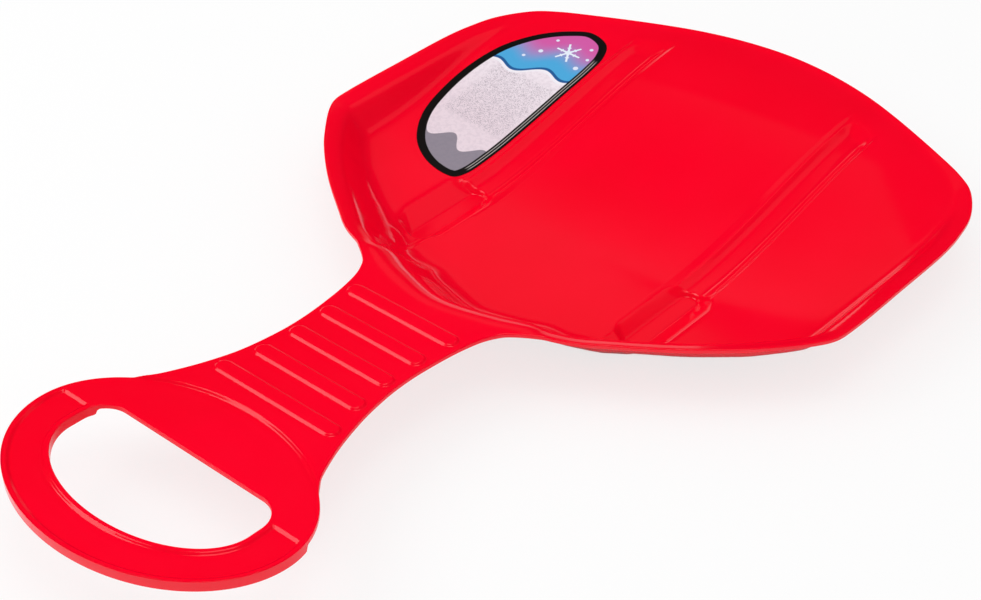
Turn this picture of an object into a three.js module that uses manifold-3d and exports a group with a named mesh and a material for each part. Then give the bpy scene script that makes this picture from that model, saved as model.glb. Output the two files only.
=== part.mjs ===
import * as THREE from 'three';
import { mergeVertices, toCreasedNormals } from 'three/addons/utils/BufferGeometryUtils.js';
import Module from 'manifold-3d';

// Snow slider sled: one moulded body with a dished seat, a ribbed neck and a hand grip,
// and a printed sticker on the seat floor.
// Millimetres, +Z up, X across the sled, Y along it with the grip at -Y.
// The origin is the middle of the footprint, on the ground under the runner shoes.

// Sheet of the moulding, its rounded upper edge, and how far cuts run past it
const sheet = 2.5;
const edgeRound = 0.8;
const overrun = 4;

// Seat pan
const panWidth = 347.4;
const panLength = 327.2;
const panDepth = 31;
const panBackDepth = 1.4;
const floorRiseInset = 122;
const floorRiseLength = 180;
const dishShare = 0.54;
const rimBandNeck = 10;
const rimBandFlank = 9;
const rimBandSide = 12;
const rimBandBack = 6;
const rimSlopeShare = 0.33;
const rimSlopeNeckShare = 0.02;
const crestHalf = 1.5;
const crestHalfNeck = 9;
const neckBandShare = 0.74;
const flankBandShare = 0.9;
const wallSlopeSideShare = 1.7;
const wallSlopeFrontShare = 1.05;
const wallTurnStartShare = 0.55;
const wallTurnEndShare = 0.9;
const floorFilletShare = 0.35;
const leastWallRun = 4;
// Where the floor is measured under the wall, in band widths from the outline
const footBands = 2;

// Runners: channels in the seat floor that stand out as keels below it
const runnerSpacing = 149;
const runnerWidth = 22;
const runnerFloorWidth = 10;
const runnerDepth = 3.5;
const runnerFrontInset = 57.5;
const runnerBackInset = 38;
const runnerNoseLength = 9;
const runnerTailLength = 10;
const runnerNoseSkewShare = 0.6;
const runnerTailSkewShare = -0.5;
const runnerSkewFadeShare = 0.2;
// Ledge: a fine step along both sides of a channel, wider on the side of the middle
const ledgeDepth = 0.8;
const ledgeInnerWidth = 5.2;
const ledgeOuterWidth = 1.9;
const ledgeTailShare = 0.4;
const ledgeFrontInset = 110;
const ledgeNoseLength = 8;
const ledgeBackInset = 35;

// Shoes: the flat front ends of the keels, which carry the sled on level ground
const shoeDepth = 2.5;
const shoeLength = 55.7;
const shoeEndShare = 0.6;
const shoeFrontInset = 73;

// Hand grip: it rises a little towards its front end
const gripWidth = 165;
const gripFrontHalf = 61.2;
const gripBackHalf = 56;
const gripStep = 1.5;
const gripRiseShare = 0.042;
const gripRiseStart = 143;
const gripSideWidth = 22.7;
const handHoleInset = 58.5;
const handHoleFrontHalf = 35.9;
const handHoleBackHalf = 21;
const handHoleCorner = 14;
const padBorder = 1.2;
const padSlopeRun = 3.6;
const padDepth = 1.2;
const padEndInset = 72;
const flangeDepth = 5.5;
const flangeEndInset = 73;

// Neck, from the grip to the pan, with its ends lapping into both
const neckLength = 115.6;
const neckWaistWidth = 72.4;
const neckWaistShare = 0.569;
const neckFootWidth = 132;
const neckFootLap = 27.2;
const neckRootWidth = 140;
const neckRootLap = 22.2;
const neckLap = 1;

// Ribs across the neck
const ribCount = 5;
const ribWidth = 10;
const ribHeight = 1.8;
const ribMargin = 2.4;
const ribSideWall = 2.2;
const ribEndInset = 15;

// Sticker
const stickerThickness = 0.3;
const stickerGap = 0.3;
const stickerSideInset = 22.9;
const stickerLength = 150;
const stickerRunnerGap = 0.4;
const stickerFrontInset = 123.5;

// Shading turns sharp where faces meet at more than this
const creaseAngle = Math.PI / 9;

// How finely curves are divided
const outlineSteps = 72;
const curveLengthSteps = 2000;
const ellipseSteps = 48;
const arcSteps = 6;
const roundSteps = 2;
const neckSteps = 24;
const stickerSteps = 44;
const runnerSteps = 16;

// Half of the pan outline, front to back: share of the half width, share of the length
const panOutlineShares = [
  [0, 0],
  [0.196, 0.022],
  [0.317, 0.0465],
  [0.4416, 0.071],
  [0.5297, 0.1015],
  [0.679, 0.158],
  [0.806, 0.2165],
  [0.869, 0.2515],
  [0.9614, 0.3123],
  [0.99, 0.3414],
  [0.998, 0.38],
  [1, 0.511],
  [0.998, 0.645],
  [0.987, 0.6975],
  [0.959, 0.7586],
  [0.8866, 0.8227],
  [0.8175, 0.852],
  [0.7185, 0.8808],
  [0.475, 0.942],
  [0.3224, 0.9725],
  [0.161, 0.9927],
  [0, 1],
];

// Rings of the pan wall beyond the rim band, as shares of the run of the wall
const bandRingShare = 0.5;
const wallRingShares = [0.12, 0.4, 0.62, 0.8, 0.98, 1.2, 1.5, 1.9];
// Rings of the seat floor, as shares of the innermost wall ring
const floorRingShares = [0.88, 0.76, 0.64, 0.52, 0.4, 0.28, 0.14];

// Side of the neck from the waist: share of the flare, share of the way to the end
const neckFootShares = [
  [0, 0],
  [0.024, 0.161],
  [0.131, 0.376],
  [0.329, 0.591],
  [0.55, 0.763],
  [0.7, 0.849],
  [0.93, 0.935],
  [1.15, 1],
];
const neckRootShares = [
  [0, 0],
  [0.02, 0.19],
  [0.07, 0.4],
  [0.13, 0.55],
  [0.19, 0.65],
  [0.26, 0.72],
  [0.35, 0.785],
  [0.5, 0.845],
  [0.75, 0.925],
  [1, 1],
];

// Sticker outline: share of the width away from the runner, share of the length
const stickerShares = [
  [0.015, 0.06],
  [0.06, 0.012],
  [0.14, 0],
  [0.31, 0.002],
  [0.5, 0.03],
  [0.69, 0.09],
  [0.88, 0.215],
  [0.98, 0.39],
  [1, 0.57],
  [0.95, 0.715],
  [0.85, 0.815],
  [0.72, 0.895],
  [0.56, 0.957],
  [0.37, 1],
  [0.13, 0.97],
  [0.03, 0.9],
  [0, 0.81],
  [0, 0.6],
  [0, 0.4],
  [0, 0.2],
];

const wasm = await Module();
wasm.setup();

// Places that follow from the sizes
const sledLength = gripFrontHalf + gripBackHalf + neckLength + panLength;
const backY = sledLength / 2;
const panFrontY = backY - panLength;
const panHalfWidth = panWidth / 2;
const gripCentreY = gripFrontHalf - backY;
const gripBackY = gripCentreY + gripBackHalf;
const handHoleY = handHoleInset - backY;
const handHoleWidth = gripWidth - gripSideWidth - gripSideWidth;
const gripRiseY = gripRiseStart - backY;
const neckWaistY = THREE.MathUtils.lerp(gripBackY, panFrontY, neckWaistShare);
const neckFootLength = neckWaistY - gripBackY + neckFootLap;
const neckRootLength = panFrontY + neckRootLap - neckWaistY;
const ribPitch = (neckLength - ribEndInset - ribEndInset) / (ribCount - 1);
const runnerX = runnerSpacing / 2;
const runnerFrontY = panFrontY + runnerFrontInset;
const runnerBackY = backY - runnerBackInset;
const channelForm = {
  floorHalf: runnerFloorWidth / 2,
  innerHalf: runnerWidth / 2,
  outerHalf: runnerWidth / 2,
  tailShare: 1,
  below: runnerDepth,
  frontY: runnerFrontY,
  backY: runnerBackY,
  noseLength: runnerNoseLength,
};
const ledgeForm = {
  floorHalf: runnerWidth / 2,
  innerHalf: runnerWidth / 2 + ledgeInnerWidth,
  outerHalf: runnerWidth / 2 + ledgeOuterWidth,
  tailShare: ledgeTailShare,
  below: ledgeDepth,
  frontY: panFrontY + ledgeFrontInset,
  backY: backY - ledgeBackInset,
  noseLength: ledgeNoseLength,
};
const shoeFrontY = panFrontY + shoeFrontInset;
const shoeRise = runnerDepth + shoeDepth;
const channelBottom = -floorDepth(runnerX, shoeFrontY) - runnerDepth;
const shoeUnderside = channelBottom - shoeDepth - sheet;
const rimHeight = -shoeUnderside;

// Solids and meshes
function toSolid(geometry) {
  const bare = geometry.clone();
  bare.deleteAttribute('normal');
  bare.deleteAttribute('uv');
  const merged = mergeVertices(bare);
  return new wasm.Manifold(new wasm.Mesh({
    numProp: 3,
    vertProperties: new Float32Array(merged.attributes.position.array),
    triVerts: new Uint32Array(merged.index.array),
  }));
}

function toGeometry(solid) {
  const mesh = solid.getMesh();
  const geometry = new THREE.BufferGeometry();
  geometry.setAttribute('position', new THREE.BufferAttribute(mesh.vertProperties, 3));
  geometry.setIndex(new THREE.BufferAttribute(mesh.triVerts, 1));
  return toCreasedNormals(geometry, creaseAngle);
}

function prism(shape, bottom, top) {
  const geometry = new THREE.ExtrudeGeometry(shape, {
    depth: top - bottom,
    bevelEnabled: false,
    curveSegments: arcSteps,
  });
  geometry.translate(0, 0, bottom);
  return toSolid(geometry);
}

// Everything between two heights and behind a line across the sled
function slab(bottom, top, frontY = -sledLength) {
  const length = sledLength - frontY;
  const geometry = new THREE.BoxGeometry(sledLength, length, top - bottom);
  geometry.translate(0, frontY + length / 2, (bottom + top) / 2);
  return toSolid(geometry);
}

// A plate with a rounded upper edge and a square lower one
function roundedPlate(shape, bottom, top, rounding = edgeRound) {
  const start = bottom - overrun;
  const geometry = new THREE.ExtrudeGeometry(shape, {
    depth: top - rounding - start,
    bevelThickness: rounding,
    bevelSize: rounding,
    bevelOffset: -rounding,
    bevelSegments: roundSteps,
    curveSegments: arcSteps,
  });
  geometry.translate(0, 0, start);
  return toSolid(geometry).subtract(slab(start - overrun, bottom));
}

// Triangles between two rings, one of which may have twice as many points as the other
function bandBetween(near, far, points) {
  const faces = [];
  const nearAt = (step) => near[step % near.length];
  const farAt = (step) => far[step % far.length];
  for (let step = 0; step < Math.min(near.length, far.length); step += 1) {
    if (near.length > far.length) {
      const [first, middle, last] = [nearAt(2 * step), nearAt(2 * step + 1), nearAt(2 * step + 2)];
      faces.push(first, farAt(step), middle);
      faces.push(middle, farAt(step), farAt(step + 1));
      faces.push(middle, farAt(step + 1), last);
    } else if (near.length < far.length) {
      const [first, middle, last] = [farAt(2 * step), farAt(2 * step + 1), farAt(2 * step + 2)];
      faces.push(nearAt(step), first, middle);
      faces.push(nearAt(step), middle, nearAt(step + 1));
      faces.push(nearAt(step + 1), middle, last);
    } else {
      const [a, b, c, d] = [nearAt(step), farAt(step), farAt(step + 1), nearAt(step + 1)];
      const flat = points[a].distanceTo(points[c]) <= points[b].distanceTo(points[d]);
      faces.push(...(flat ? [a, b, c, a, c, d] : [a, b, d, b, c, d]));
    }
  }
  return faces;
}

// A closed skin through rings of points, from a first centre to a last one.
// Each ring runs anticlockwise as seen from the side of the first centre.
function ringLoft(firstCentre, rings, lastCentre) {
  const points = [firstCentre, ...rings.flat(), lastCentre];
  const last = points.length - 1;
  let start = 1;
  const numbered = rings.map((ring) => {
    const numbers = ring.map((point, step) => start + step);
    start += ring.length;
    return numbers;
  });
  const index = [];
  numbered[0].forEach((number, step, ring) => index.push(0, number, ring[(step + 1) % ring.length]));
  numbered.slice(1).forEach((ring, step) => index.push(...bandBetween(numbered[step], ring, points)));
  numbered[rings.length - 1].forEach(
    (number, step, ring) => index.push(last, ring[(step + 1) % ring.length], number),
  );
  const geometry = new THREE.BufferGeometry().setFromPoints(points);
  geometry.setIndex(index);
  return toSolid(geometry);
}

function middleOf(points) {
  return new THREE.Box3().setFromPoints(points).getCenter(new THREE.Vector3());
}

function closedCurve(pairs) {
  const points = pairs.map(([x, y]) => new THREE.Vector3(x, y, 0));
  const curve = new THREE.CatmullRomCurve3(points, true, 'centripetal');
  curve.arcLengthDivisions = curveLengthSteps;
  return curve;
}

// Seat: depth of the dished floor below the rim plane
function floorDepth(x, y) {
  const riseStart = panFrontY + floorRiseInset;
  const rise = THREE.MathUtils.smoothstep(y, riseStart, riseStart + floorRiseLength);
  const middle = THREE.MathUtils.lerp(panDepth, panBackDepth, rise);
  return middle * (1 - dishShare * (x / panHalfWidth) ** 2);
}

// Rise from zero with its corner rounded over a half width
function easedRise(run, half) {
  return Math.abs(run) < half ? (run + half) ** 2 / (half + half + half + half) : Math.max(run, 0);
}

// Depth of the seat at a distance in from the outline: rim band, wall, fillet and floor
function seatDepth(x, y, inset, { band, slope, crest, steepness }) {
  const wall = slope * inset + (steepness - slope) * easedRise(inset - band, crest);
  const floor = floorDepth(x, y);
  const blend = floorFilletShare * floor;
  const overlap = Math.max(blend - Math.abs(wall - floor), 0) / blend;
  return Math.min(wall, floor) - (overlap ** 2 * blend) / 4;
}

// Rim band: narrowest at the back, and at the neck level with it, over a well rounded crest
function rimBand(x, inward) {
  if (inward.y < 0) {
    const band = THREE.MathUtils.lerp(rimBandSide, rimBandBack, -inward.y);
    return { band, slope: rimSlopeShare, crest: crestHalf };
  }
  const reach = neckRootWidth / 2;
  const away = THREE.MathUtils.smoothstep(Math.abs(x), reach * neckBandShare, reach * flankBandShare);
  const flank = THREE.MathUtils.lerp(rimBandSide, rimBandFlank, inward.y);
  return {
    band: THREE.MathUtils.lerp(rimBandNeck, flank, away),
    slope: THREE.MathUtils.lerp(rimSlopeNeckShare, rimSlopeShare, away),
    crest: THREE.MathUtils.lerp(crestHalfNeck, crestHalf, away),
  };
}

// The wall is steep at the sides and slants more at the front
function wallSteepness(inward) {
  const turn = THREE.MathUtils.smoothstep(inward.y, wallTurnStartShare, wallTurnEndShare);
  return THREE.MathUtils.lerp(wallSlopeSideShare, wallSlopeFrontShare, turn);
}

function panCurve() {
  const right = panOutlineShares.map(([x, y]) => [x * panHalfWidth, panFrontY + y * panLength]);
  const left = right.slice(1, -1).reverse().map(([x, y]) => [-x, y]);
  return closedCurve([...right, ...left]);
}

// Stations round the pan outline, each with its inward direction, rim band and wall
function panStations() {
  const curve = panCurve();
  return curve.getSpacedPoints(outlineSteps).slice(0, -1).map((point, step) => {
    const along = curve.getTangentAt(step / outlineSteps);
    const inward = new THREE.Vector2(-along.y, along.x).normalize();
    const rim = rimBand(point.x, inward);
    const steepness = wallSteepness(inward);
    const footX = point.x + footBands * rim.band * inward.x;
    const footY = point.y + footBands * rim.band * inward.y;
    const fall = floorDepth(footX, footY) - rim.slope * rim.band;
    const run = Math.max(fall / steepness, leastWallRun);
    return { x: point.x, y: point.y, inward, ...rim, steepness, run };
  });
}

const stations = panStations();

// Depth of the seat at any place, from its distance to the nearest side of the outline
function seatDepthAt(x, y) {
  const here = new THREE.Vector3(x, y, 0);
  let nearest = { inset: sledLength };
  stations.forEach((station, step) => {
    const next = stations[(step + 1) % stations.length];
    const from = new THREE.Vector3(station.x, station.y, 0);
    const side = new THREE.Line3(from, new THREE.Vector3(next.x, next.y, 0));
    const way = side.closestPointToPointParameter(here, true);
    const inset = side.at(way, new THREE.Vector3()).distanceTo(here);
    if (inset < nearest.inset) {
      const between = (key) => THREE.MathUtils.lerp(station[key], next[key], way);
      const [band, slope] = [between('band'), between('slope')];
      nearest = { inset, band, slope, crest: between('crest'), steepness: between('steepness') };
    }
  });
  return seatDepth(x, y, nearest.inset, nearest);
}

// A point of the seat surface at a distance in from the outline, lowered square to the surface
function seatPoint(station, inset, drop) {
  const place = (distance) => [
    station.x + distance * station.inward.x,
    station.y + distance * station.inward.y,
  ];
  const [x, y] = place(inset);
  const before = Math.max(inset - edgeRound, 0);
  const after = inset + edgeRound;
  const fall = seatDepth(...place(after), after, station)
    - seatDepth(...place(before), before, station);
  const slope = fall / (after - before);
  const depth = seatDepth(x, y, inset, station);
  return new THREE.Vector3(x, y, -depth - drop * Math.hypot(1, slope));
}

// Rings of the seat surface from the outline to the middle, lowered by a distance
function seatRings(drop) {
  const atInset = (inset) => stations.map((station) => seatPoint(station, inset(station), drop));
  const rim = atInset(() => 0);
  const edge = atInset(() => edgeRound);
  const shelf = atInset((station) => bandRingShare * station.band);
  const crest = atInset((station) => station.band);
  const wall = wallRingShares.map(
    (share) => atInset((station) => station.band + share * station.run),
  );
  const foot = wall[wall.length - 1];
  const centre = middleOf(foot);
  const everyOther = foot.filter((point, step) => step % 2 === 0);
  const floor = floorRingShares.map((share) => everyOther.map((point) => {
    const x = THREE.MathUtils.lerp(centre.x, point.x, share);
    const y = THREE.MathUtils.lerp(centre.y, point.y, share);
    return new THREE.Vector3(x, y, -floorDepth(x, y) - drop);
  }));
  const middle = new THREE.Vector3(centre.x, centre.y, -floorDepth(centre.x, centre.y) - drop);
  return { rings: [rim, edge, shelf, crest, ...wall, ...floor], middle };
}

function panShell() {
  const top = seatRings(0);
  const bottom = seatRings(sheet);
  top.rings[0] = top.rings[0].map((point) => point.clone().setZ(point.z - edgeRound));
  return ringLoft(top.middle, [...top.rings.reverse(), ...bottom.rings], bottom.middle);
}

// Everything above the seat surface raised by a gap
function seatSpace(raise) {
  const seat = seatRings(-raise);
  const lid = stations.map((station) => new THREE.Vector3(station.x, station.y, panDepth));
  const middle = new THREE.Vector3(seat.middle.x, seat.middle.y, panDepth);
  return ringLoft(middle, [lid, ...seat.rings], seat.middle);
}

// How far a corner moves out when the faces beside it are lowered, one of them sloping
function cornerShift(drop, rise, run) {
  return drop * Math.tan(Math.atan(rise / run) / 2);
}

// A bar with sloping sides that follows the seat, its surfaces lowered by a distance.
// It shapes a channel or the ledge beside it, from the form that gives its section and ends.
function runnerBar(side, form, drop, roof) {
  const { floorHalf, innerHalf, outerHalf, tailShare, below, noseLength } = form;
  const shift = cornerShift(drop, below, outerHalf - floorHalf);
  const front = form.frontY - cornerShift(drop, below, noseLength);
  const back = form.backY + cornerShift(drop, below, runnerTailLength);
  const places = [front];
  for (let step = 0; step <= runnerSteps; step += 1) {
    const share = step / runnerSteps;
    places.push(THREE.MathUtils.lerp(front + noseLength, back - runnerTailLength, share));
  }
  places.push(back);
  const rings = places.map((place, step) => {
    const atEnd = step === 0 || step === places.length - 1;
    const depth = drop + (atEnd ? 0 : below);
    const way = THREE.MathUtils.inverseLerp(front, back, place);
    const nose = 1 - THREE.MathUtils.smoothstep(way, 0, runnerSkewFadeShare);
    const tail = THREE.MathUtils.smoothstep(way, 1 - runnerSkewFadeShare, 1);
    const skew = nose * runnerNoseSkewShare + tail * runnerTailSkewShare;
    const narrow = THREE.MathUtils.lerp(1, tailShare, way);
    const outer = shift + THREE.MathUtils.lerp(floorHalf, outerHalf, narrow);
    const inner = -shift - THREE.MathUtils.lerp(floorHalf, innerHalf, narrow);
    const section = [
      [-floorHalf - shift, depth],
      [floorHalf + shift, depth],
      [outer, drop],
      [outer, roof],
      [inner, roof],
      [inner, drop],
    ];
    return section.map(([across, down]) => {
      const x = side * (runnerX + across);
      const y = place + skew * across;
      return new THREE.Vector3(x, y, -seatDepthAt(x, y) - down);
    });
  });
  const ordered = side > 0 ? rings : rings.map((ring) => ring.slice().reverse());
  return ringLoft(middleOf(ordered[0]), ordered, middleOf(ordered[ordered.length - 1]));
}

// A round-ended slot about a centre, lying along or across the sled
function slotShape(halfWidth, halfLength, x, y, lengthways) {
  const straight = halfLength - halfWidth;
  const turn = lengthways ? Math.PI / 2 : 0;
  const [dx, dy] = lengthways ? [0, straight] : [straight, 0];
  const shape = new THREE.Shape();
  shape.absarc(x + dx, y + dy, halfWidth, turn - Math.PI / 2, turn + Math.PI / 2, false);
  shape.absarc(x - dx, y - dy, halfWidth, turn + Math.PI / 2, turn + Math.PI * 1.5, false);
  return shape;
}

// Shoe: a round-ended block under the channel, whose sides slope as those of the channel do,
// its surfaces lowered by a distance
function shoeBlock(side, drop, height) {
  const sideRun = (runnerWidth - runnerFloorWidth) / 2;
  const shift = cornerShift(drop, runnerDepth, sideRun);
  const bottom = channelBottom - shoeDepth - drop;
  const middleY = shoeFrontY + shoeLength / 2;
  const ringAt = (level) => {
    const grow = shift + (sideRun * level) / runnerDepth;
    const halfWidth = runnerFloorWidth / 2 + grow;
    const halfLength = shoeLength / 2 + shift + shoeEndShare * level;
    const shape = slotShape(halfWidth, halfLength, side * runnerX, middleY, true);
    return shape.getPoints(arcSteps).map(
      (point) => new THREE.Vector3(point.x, point.y, bottom + level),
    );
  };
  const [low, high] = [ringAt(0), ringAt(height)];
  return ringLoft(middleOf(high), [high, low], middleOf(low));
}

// Points along part of an ellipse
function ellipseArc(x, y, halfWidth, halfLength, from, to, steps) {
  return new THREE.EllipseCurve(x, y, halfWidth, halfLength, from, to, false, 0).getPoints(steps);
}

// Grip outline: two half ellipses of unlike depth
function gripShape(inset = 0) {
  const halfWidth = gripWidth / 2 - inset;
  const arc = (half, from) => ellipseArc(
    0,
    gripCentreY,
    halfWidth,
    half - inset,
    from,
    from + Math.PI,
    ellipseSteps / 2,
  ).slice(0, -1);
  return new THREE.Shape([...arc(gripBackHalf, 0), ...arc(gripFrontHalf, Math.PI)]);
}

// Front of the hand hole, from left to right
function handHoleFront(grow) {
  const halfWidth = handHoleWidth / 2 + grow;
  const half = handHoleFrontHalf + grow;
  return ellipseArc(0, handHoleY, halfWidth, half, Math.PI, 2 * Math.PI, ellipseSteps / 2);
}

// D-shaped hand hole: an ellipse in front, a straight edge and two corners behind
function handHoleShape(grow = 0) {
  const corner = handHoleCorner + grow;
  const x = handHoleWidth / 2 + grow - corner;
  const y = handHoleY + handHoleBackHalf + grow - corner;
  const right = ellipseArc(x, y, corner, corner, 0, Math.PI / 2, arcSteps);
  const left = ellipseArc(-x, y, corner, corner, Math.PI / 2, Math.PI, arcSteps);
  return new THREE.Shape([...right, ...left, ...handHoleFront(grow)]);
}

// Floor of the recessed grip pad, between the grip edge and the hand hole
function padShape() {
  const endY = padEndInset - backY - padSlopeRun;
  const margin = padBorder + padSlopeRun;
  const outerX = gripWidth / 2 - margin;
  const outerHalf = gripFrontHalf - margin;
  const steps = ellipseSteps / 2;
  const outer = ellipseArc(0, gripCentreY, outerX, outerHalf, Math.PI, 2 * Math.PI, steps);
  const inner = handHoleFront(margin).reverse();
  const [innerX, end] = [inner[0].x, (x) => new THREE.Vector2(x, endY)];
  return new THREE.Shape([...outer, end(outerX), end(innerX), ...inner, end(-innerX), end(-outerX)]);
}

// The pad recess: a flat floor with sloping sides
function padRecess() {
  const geometry = new THREE.ExtrudeGeometry(padShape(), {
    depth: overrun,
    bevelThickness: padDepth,
    bevelSize: padSlopeRun,
    bevelSegments: 1,
    curveSegments: arcSteps,
  });
  geometry.translate(0, 0, -gripStep);
  return toSolid(geometry);
}

// Lift of the grip towards its front end: a straight slope in front of a line across the neck
function raiseFront(solid) {
  const ahead = solid.subtract(slab(-panDepth, panDepth, gripRiseY));
  const behind = solid.intersect(slab(-panDepth, panDepth, gripRiseY));
  const geometry = toGeometry(ahead);
  const points = geometry.attributes.position;
  for (let number = 0; number < points.count; number += 1) {
    const lift = gripRiseShare * (gripRiseY - points.getY(number));
    points.setZ(number, points.getZ(number) + lift);
  }
  return toSolid(geometry).add(behind);
}

// Right side of the neck: a waist, a flare to the grip and a flare to the pan
function neckSide() {
  const waist = neckWaistWidth / 2;
  const foot = neckFootShares.map(([flare, way]) => new THREE.Vector2(
    waist + (flare * (neckFootWidth - neckWaistWidth)) / 2,
    neckWaistY - way * neckFootLength,
  ));
  const root = neckRootShares.map(([flare, way]) => new THREE.Vector2(
    waist + (flare * (neckRootWidth - neckWaistWidth)) / 2,
    neckWaistY + way * neckRootLength,
  ));
  return new THREE.SplineCurve([...foot.reverse(), ...root.slice(1)]).getSpacedPoints(neckSteps);
}

function neckOutline() {
  const right = neckSide();
  const left = right.map((point) => new THREE.Vector2(-point.x, point.y)).reverse();
  return new THREE.Shape([...right, ...left]);
}

function neckHalfWidth(y) {
  const points = neckSide();
  const next = points.findIndex((point) => point.y >= y);
  const [from, to] = [points[next - 1], points[next]];
  return THREE.MathUtils.mapLinear(y, from.y, to.y, from.x, to.x);
}

// Pan with its runners, ledges and shoes
let pan = panShell();
[1, -1].forEach((side) => {
  pan = pan.add(runnerBar(side, channelForm, sheet, sheet / 2));
  pan = pan.add(runnerBar(side, ledgeForm, sheet, sheet / 2));
  pan = pan.add(shoeBlock(side, sheet, shoeRise + sheet / 2));
});
[1, -1].forEach((side) => {
  pan = pan.subtract(runnerBar(side, channelForm, 0, -overrun));
  pan = pan.subtract(runnerBar(side, ledgeForm, 0, -overrun));
  pan = pan.subtract(shoeBlock(side, 0, shoeRise + overrun));
});

// Neck plate, ended at the pan outline and stepped down at the grip
const gripTop = -gripStep;
const gripUnder = gripTop - sheet;
const panLine = stations.map((station) => new THREE.Vector2(
  station.x + neckLap * station.inward.x,
  station.y + neckLap * station.inward.y,
));
let neck = roundedPlate(neckOutline(), -sheet, 0);
neck = neck.subtract(prism(new THREE.Shape(panLine), -panDepth, overrun));
neck = neck.subtract(prism(gripShape(), gripTop, overrun));
const stepJoint = prism(gripShape(-sheet), gripUnder, gripTop);
neck = neck.add(prism(neckOutline(), gripUnder, gripTop).intersect(stepJoint));

// Raised ribs on the neck, hollow from below
for (let number = 0; number < ribCount; number += 1) {
  const y = panFrontY - ribEndInset - number * ribPitch;
  const reach = Math.min(neckHalfWidth(y - ribWidth / 2), neckHalfWidth(y + ribWidth / 2));
  const halfLength = reach - ribMargin;
  const slot = (inset) => slotShape(ribWidth / 2 - inset, halfLength - inset, 0, y, false);
  neck = neck.add(roundedPlate(slot(0), -sheet / 2, ribHeight));
  neck = neck.subtract(prism(slot(ribSideWall), -sheet - overrun, ribHeight - sheet));
}

// Grip plate with its hand hole, recessed pad and flanges
const flangeUnder = gripTop - flangeDepth;
const behindPad = slab(-panDepth, panDepth, padEndInset - backY);
const behindFlange = slab(-panDepth, panDepth, flangeEndInset - backY);
const padUnder = prism(gripShape(), gripUnder - padDepth, gripUnder + edgeRound);
const outerFlange = prism(gripShape(), flangeUnder, gripUnder + edgeRound)
  .subtract(prism(gripShape(sheet), flangeUnder - overrun, gripUnder));
const innerFlange = prism(handHoleShape(sheet), flangeUnder, gripUnder + edgeRound);
const grip = roundedPlate(gripShape(), gripUnder, gripTop)
  .add(padUnder.subtract(behindPad))
  .add(outerFlange.add(innerFlange).subtract(behindFlange))
  .subtract(prism(handHoleShape(), -panDepth, panDepth))
  .subtract(padRecess());

// Sticker on the seat floor, on the left as seen from the grip
const stickerInnerX = -runnerX - ledgeForm.outerHalf - stickerRunnerGap;
const stickerWidth = panHalfWidth + stickerInnerX - stickerSideInset;
const stickerFrontY = panFrontY + stickerFrontInset;
const stickerCurve = closedCurve(stickerShares.map(([out, way]) => [
  stickerInnerX - out * stickerWidth,
  stickerFrontY + way * stickerLength,
]));
const stickerLine = stickerCurve.getSpacedPoints(stickerSteps).slice(0, -1)
  .map((point) => new THREE.Vector2(point.x, point.y));
const stickerSolid = prism(new THREE.Shape(stickerLine), -panDepth, panDepth / 2)
  .intersect(seatSpace(stickerGap))
  .subtract(seatSpace(stickerGap + stickerThickness));

// Assembly
const group = new THREE.Group();
group.name = 'snow_sled';

function place(name, solid, colour, roughness) {
  const material = new THREE.MeshStandardMaterial({ color: colour, roughness, metalness: 0 });
  const mesh = new THREE.Mesh(toGeometry(solid), material);
  mesh.name = name;
  mesh.position.z = rimHeight;
  group.add(mesh);
}

place('sled_shell', pan.add(raiseFront(neck.add(grip))), 0xf2082e, 0.35);
place('label_sticker', stickerSolid, 0xdcd8ec, 0.4);

export default group;
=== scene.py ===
import math

import bpy
import numpy as np
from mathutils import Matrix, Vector, kdtree
from mathutils.geometry import delaunay_2d_cdt


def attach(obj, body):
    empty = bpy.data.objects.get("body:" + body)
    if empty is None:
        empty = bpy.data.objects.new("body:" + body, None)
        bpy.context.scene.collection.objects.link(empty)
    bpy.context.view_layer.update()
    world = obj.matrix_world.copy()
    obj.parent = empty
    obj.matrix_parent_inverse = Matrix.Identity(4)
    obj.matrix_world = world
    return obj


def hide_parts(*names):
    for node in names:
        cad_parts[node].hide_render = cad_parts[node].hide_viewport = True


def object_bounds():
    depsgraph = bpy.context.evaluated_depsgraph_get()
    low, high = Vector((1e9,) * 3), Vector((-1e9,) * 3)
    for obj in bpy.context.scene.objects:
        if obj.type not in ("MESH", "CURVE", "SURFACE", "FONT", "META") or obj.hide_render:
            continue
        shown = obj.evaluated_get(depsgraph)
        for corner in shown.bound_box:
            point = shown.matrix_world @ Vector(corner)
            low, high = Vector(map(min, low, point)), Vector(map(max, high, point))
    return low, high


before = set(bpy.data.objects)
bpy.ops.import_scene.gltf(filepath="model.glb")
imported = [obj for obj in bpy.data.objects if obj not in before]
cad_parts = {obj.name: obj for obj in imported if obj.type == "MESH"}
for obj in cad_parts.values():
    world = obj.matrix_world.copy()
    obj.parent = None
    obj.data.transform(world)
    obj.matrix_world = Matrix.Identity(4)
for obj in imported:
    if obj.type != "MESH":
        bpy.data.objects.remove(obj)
box_before = [list(corner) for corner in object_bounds()]

# Sizes in millimetres. They are those of the part, but for two small forms: here the ribs stand
# less high, and the sunk pad's edge is steeper and farther in. Slopes are rise over run.
# Until the meshes are built, z = 0 is the plane of the rim.
SLED_LENGTH = 560
SHEET = 2.5

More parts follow.
